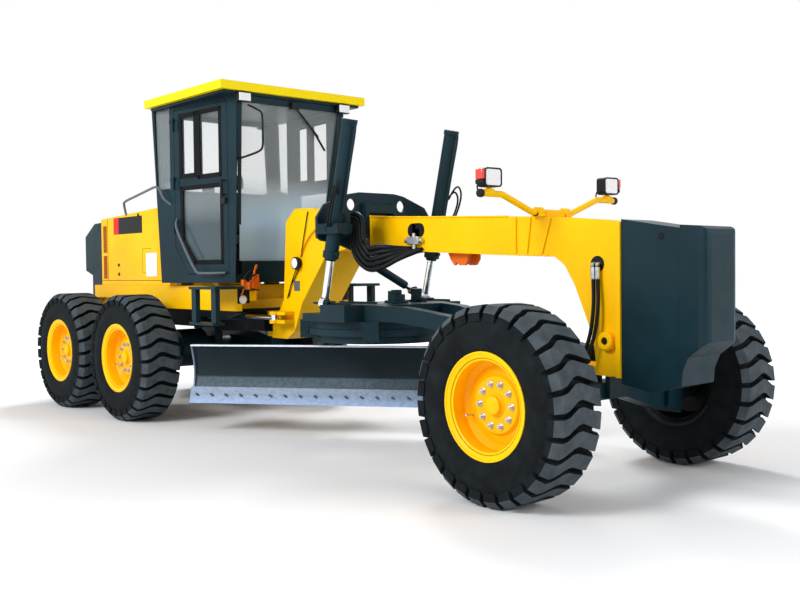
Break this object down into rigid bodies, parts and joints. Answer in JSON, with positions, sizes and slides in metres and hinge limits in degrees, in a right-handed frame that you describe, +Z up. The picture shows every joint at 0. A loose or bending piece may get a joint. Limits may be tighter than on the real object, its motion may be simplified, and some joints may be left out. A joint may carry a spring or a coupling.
{
  "type": "motor grader",
  "caption": "Articulated motor grader with an arched front frame, glazed cab, tandem drive wheels, leaning front wheels and an angled blade on a turntable under a drawbar.",
  "frame": {"origin": "on the ground under the middle of the machine's bounding box", "axes": "+X forward, +Y to the driver's left, +Z up"},
  "size_m": [8.96, 2.601, 3.45],
  "materials": {
    "yellow_paint": "gloss yellow paint",
    "dark_paint": "satin blue-black paint",
    "cylinder_paint": "satin blue-black paint",
    "chromed_rod": "polished hard chrome",
    "engine_iron": "plain casting",
    "seat_fabric": "dark woven cloth",
    "console_plastic": "dark grey moulded plastic",
    "lamp_plastic": "black lamp housing",
    "edge_steel": "bare worn steel",
    "window_glass": "lightly tinted safety glass",
    "tandem_paint": "satin blue-black paint",
    "tyre_rubber": "black treaded rubber",
    "rim_paint": "gloss yellow paint"
  },
  "bodies": {
    "rear_unit": {"rear_frame": "yellow_paint", "rear_axle": "dark_paint", "engine_block": "engine_iron", "hood": "yellow_paint", "exhaust_stack": "dark_paint", "radiator_housing": "dark_paint", "cab_shell": "dark_paint", "cab_glass": "window_glass", "cab_roof": "yellow_paint", "seat": "seat_fabric", "steering_console": "console_plastic", "steps": "dark_paint"},
    "front_unit": {"front_frame": "yellow_paint", "counterweight": "dark_paint", "saddle": "dark_paint", "lamp_bar": "yellow_paint", "head_lamps": "lamp_plastic"},
    "door_left": {"door_left": "dark_paint", "door_glass_left": "window_glass"},
    "tandem_left": {"tandem_case_left": "tandem_paint"},
    "wheel_mid_left": {"tyre_mid_left": "tyre_rubber", "rim_mid_left": "rim_paint"},
    "wheel_rear_left": {"tyre_rear_left": "tyre_rubber", "rim_rear_left": "rim_paint"},
    "door_right": {"door_right": "dark_paint", "door_glass_right": "window_glass"},
    "tandem_right": {"tandem_case_right": "tandem_paint"},
    "wheel_mid_right": {"tyre_mid_right": "tyre_rubber", "rim_mid_right": "rim_paint"},
    "wheel_rear_right": {"tyre_rear_right": "tyre_rubber", "rim_rear_right": "rim_paint"},
    "front_axle": {"front_axle": "dark_paint"},
    "lean_left": {"lean_carrier_left": "dark_paint"},
    "knuckle_left": {"knuckle_left": "dark_paint"},
    "wheel_front_left": {"tyre_front_left": "tyre_rubber", "rim_front_left": "rim_paint"},
    "lean_right": {"lean_carrier_right": "dark_paint"},
    "knuckle_right": {"knuckle_right": "dark_paint"},
    "wheel_front_right": {"tyre_front_right": "tyre_rubber", "rim_front_right": "rim_paint"},
    "drawbar_coupling": {"drawbar_coupling": "dark_paint"},
    "drawbar": {"drawbar": "dark_paint"},
    "circle": {"circle": "dark_paint"},
    "blade_carrier": {"blade_carrier": "dark_paint"},
    "blade": {"moldboard": "dark_paint", "cutting_edge": "edge_steel"},
    "lift_yoke_left": {"lift_yoke_left": "dark_paint"},
    "lift_barrel_left": {"lift_barrel_left": "cylinder_paint"},
    "lift_rod_left": {"lift_rod_left": "chromed_rod"},
    "lift_yoke_right": {"lift_yoke_right": "dark_paint"},
    "lift_barrel_right": {"lift_barrel_right": "cylinder_paint"},
    "lift_rod_right": {"lift_rod_right": "chromed_rod"},
    "shift_barrel": {"shift_barrel": "dark_paint"},
    "shift_rod": {"shift_rod": "chromed_rod"},
    "frame_cylinder_left": {"frame_cylinder_barrel_left": "dark_paint"},
    "frame_cylinder_rod_left": {"frame_cylinder_rod_left": "chromed_rod"},
    "frame_cylinder_right": {"frame_cylinder_barrel_right": "dark_paint"},
    "frame_cylinder_rod_right": {"frame_cylinder_rod_right": "chromed_rod"}
  },
  "joints": [
    {"name": "articulation", "type": "hinge", "parent": "rear_unit", "child": "front_unit", "pos_m": [-0.7, 0, 1.12], "axis": [0, 0, 1], "range_deg": [-25, 25]},
    {"name": "door_left_swing", "type": "hinge", "parent": "rear_unit", "child": "door_left", "pos_m": [-1.53209, 0.79153, 2.4], "axis": [0, 0, 1], "range_deg": [0, 95]},
    {"name": "tandem_left_rock", "type": "hinge", "parent": "rear_unit", "child": "tandem_left", "pos_m": [-2.719, 0.66, 0.675], "axis": [0, 1, 0], "range_deg": [-15, 15]},
    {"name": "wheel_mid_left_spin", "type": "hinge", "parent": "tandem_left", "child": "wheel_mid_left", "pos_m": [-1.95, 1.078, 0.675], "axis": [0, 1, 0], "continuous": true},
    {"name": "wheel_rear_left_spin", "type": "hinge", "parent": "tandem_left", "child": "wheel_rear_left", "pos_m": [-3.488, 1.078, 0.675], "axis": [0, 1, 0], "continuous": true},
    {"name": "door_right_swing", "type": "hinge", "parent": "rear_unit", "child": "door_right", "pos_m": [-1.53209, -0.79153, 2.4], "axis": [0, 0, -1], "range_deg": [0, 95]},
    {"name": "tandem_right_rock", "type": "hinge", "parent": "rear_unit", "child": "tandem_right", "pos_m": [-2.719, -0.66, 0.675], "axis": [0, 1, 0], "range_deg": [-15, 15]},
    {"name": "wheel_mid_right_spin", "type": "hinge", "parent": "tandem_right", "child": "wheel_mid_right", "pos_m": [-1.95, -1.078, 0.675], "axis": [0, 1, 0], "continuous": true},
    {"name": "wheel_rear_right_spin", "type": "hinge", "parent": "tandem_right", "child": "wheel_rear_right", "pos_m": [-3.488, -1.078, 0.675], "axis": [0, 1, 0], "continuous": true},
    {"name": "front_axle_rock", "type": "hinge", "parent": "front_unit", "child": "front_axle", "pos_m": [3.5, 0, 0.69], "axis": [1, 0, 0], "range_deg": [-15, 15]},
    {"name": "wheel_lean_left", "type": "hinge", "parent": "front_axle", "child": "lean_left", "pos_m": [3.5, 0.7, 0.56], "axis": [1, 0, 0], "range_deg": [-17, 17]},
    {"name": "steer_left", "type": "hinge", "parent": "lean_left", "child": "knuckle_left", "pos_m": [3.5, 0.88, 0.64], "axis": [0, 0, 1], "range_deg": [-40, 40]},
    {"name": "wheel_front_left_spin", "type": "hinge", "parent": "knuckle_left", "child": "wheel_front_left", "pos_m": [3.5, 1.078, 0.675], "axis": [0, 1, 0], "continuous": true},
    {"name": "wheel_lean_right", "type": "hinge", "parent": "front_axle", "child": "lean_right", "pos_m": [3.5, -0.7, 0.56], "axis": [1, 0, 0], "range_deg": [-17, 17]},
    {"name": "steer_right", "type": "hinge", "parent": "lean_right", "child": "knuckle_right", "pos_m": [3.5, -0.88, 0.64], "axis": [0, 0, 1], "range_deg": [-40, 40]},
    {"name": "wheel_front_right_spin", "type": "hinge", "parent": "knuckle_right", "child": "wheel_front_right", "pos_m": [3.5, -1.078, 0.675], "axis": [0, 1, 0], "continuous": true},
    {"name": "drawbar_shift", "type": "hinge", "parent": "front_unit", "child": "drawbar_coupling", "pos_m": [3.4, 0, 0.95], "axis": [0, 0, 1], "range_deg": [-4.5, 4.5]},
    {"name": "drawbar_lift", "type": "hinge", "parent": "drawbar_coupling", "child": "drawbar", "pos_m": [3.4, 0, 0.95], "axis": [0, 1, 0], "range_deg": [-18, 2]},
    {"name": "circle_turn", "type": "hinge", "parent": "drawbar", "child": "circle", "pos_m": [0.9, 0, 1.03], "axis": [0, 0, 1], "continuous": true},
    {"name": "blade_tilt", "type": "hinge", "parent": "circle", "child": "blade_carrier", "pos_m": [0.74359, 0.22009, 0.43], "axis": [0.8151, 0.5793, 0], "range_deg": [-10, 25]},
    {"name": "blade_side_shift", "type": "slide", "parent": "blade_carrier", "child": "blade", "axis": [-0.8151, -0.5793, 0], "range_m": [-0.55, 0.55]},
    {"name": "lift_yoke_left_roll", "type": "hinge", "parent": "front_unit", "child": "lift_yoke_left", "pos_m": [1.042, 0.61, 1.95], "axis": [0.972, -0.2349, 0], "range_deg": [-16, 16]},
    {"name": "lift_barrel_left_swing", "type": "hinge", "parent": "lift_yoke_left", "child": "lift_barrel_left", "pos_m": [1.042, 0.61, 1.95], "axis": [0.2349, 0.972, 0], "range_deg": [-8, 1]},
    {"name": "lift_rod_left_slide", "type": "slide", "parent": "lift_barrel_left", "child": "lift_rod_left", "axis": [-0.2439, 0, -0.9698], "range_m": [-0.09, 0.8]},
    {"name": "lift_yoke_right_roll", "type": "hinge", "parent": "front_unit", "child": "lift_yoke_right", "pos_m": [1.042, -0.61, 1.95], "axis": [0.972, 0.2349, 0], "range_deg": [-16, 16]},
    {"name": "lift_barrel_right_swing", "type": "hinge", "parent": "lift_yoke_right", "child": "lift_barrel_right", "pos_m": [1.042, -0.61, 1.95], "axis": [-0.2349, 0.972, 0], "range_deg": [-8, 1]},
    {"name": "lift_rod_right_slide", "type": "slide", "parent": "lift_barrel_right", "child": "lift_rod_right", "axis": [-0.2439, 0, -0.9698], "range_m": [-0.09, 0.8]},
    {"name": "shift_barrel_swing", "type": "hinge", "parent": "front_unit", "child": "shift_barrel", "pos_m": [1.03, -0.327, 1.711], "axis": [0.9753, -0.1245, -0.1826], "range_deg": [-35, 4]},
    {"name": "shift_rod_slide", "type": "slide", "parent": "shift_barrel", "child": "shift_rod", "axis": [0.0284, 0.8898, -0.4555], "range_m": [-0.05, 0.445]},
    {"name": "frame_cylinder_left_swing", "type": "hinge", "parent": "rear_unit", "child": "frame_cylinder_left", "pos_m": [-1.45, 0.5, 1.12], "axis": [0, 0, 1], "range_deg": [-8, 8]},
    {"name": "frame_cylinder_left_slide", "type": "slide", "parent": "frame_cylinder_left", "child": "frame_cylinder_rod_left", "axis": [0.9927, -0.1208, 0], "range_m": [-0.18, 0.18]},
    {"name": "frame_cylinder_right_swing", "type": "hinge", "parent": "rear_unit", "child": "frame_cylinder_right", "pos_m": [-1.45, -0.5, 1.12], "axis": [0, 0, 1], "range_deg": [-8, 8]},
    {"name": "frame_cylinder_right_slide", "type": "slide", "parent": "frame_cylinder_right", "child": "frame_cylinder_rod_right", "axis": [0.9927, 0.1208, 0], "range_m": [-0.18, 0.18]}
  ],
  "couplings": [
    {"joint": "wheel_lean_right", "follows": "wheel_lean_left", "ratio": 1},
    {"joint": "steer_right", "follows": "steer_left", "ratio": 1},
    {"joint": "lift_yoke_left_roll", "follows": "drawbar_shift", "ratio": -3.5},
    {"joint": "lift_barrel_left_swing", "follows": "drawbar_lift", "ratio": 0.42},
    {"joint": "lift_rod_left_slide", "follows": "drawbar_lift", "m_per_rad": -2.54},
    {"joint": "lift_yoke_right_roll", "follows": "drawbar_shift", "ratio": -3.5},
    {"joint": "lift_barrel_right_swing", "follows": "drawbar_lift", "ratio": 0.42},
    {"joint": "lift_rod_right_slide", "follows": "drawbar_lift", "m_per_rad": -2.54},
    {"joint": "shift_barrel_swing", "follows": "drawbar_lift", "ratio": 1.9},
    {"joint": "shift_rod_slide", "follows": "drawbar_lift", "m_per_rad": -1.4},
    {"joint": "frame_cylinder_left_swing", "follows": "articulation", "ratio": 0.3},
    {"joint": "frame_cylinder_left_slide", "follows": "articulation", "m_per_rad": -0.4},
    {"joint": "frame_cylinder_right_swing", "follows": "articulation", "ratio": 0.3},
    {"joint": "frame_cylinder_right_slide", "follows": "articulation", "m_per_rad": 0.4}
  ]
}
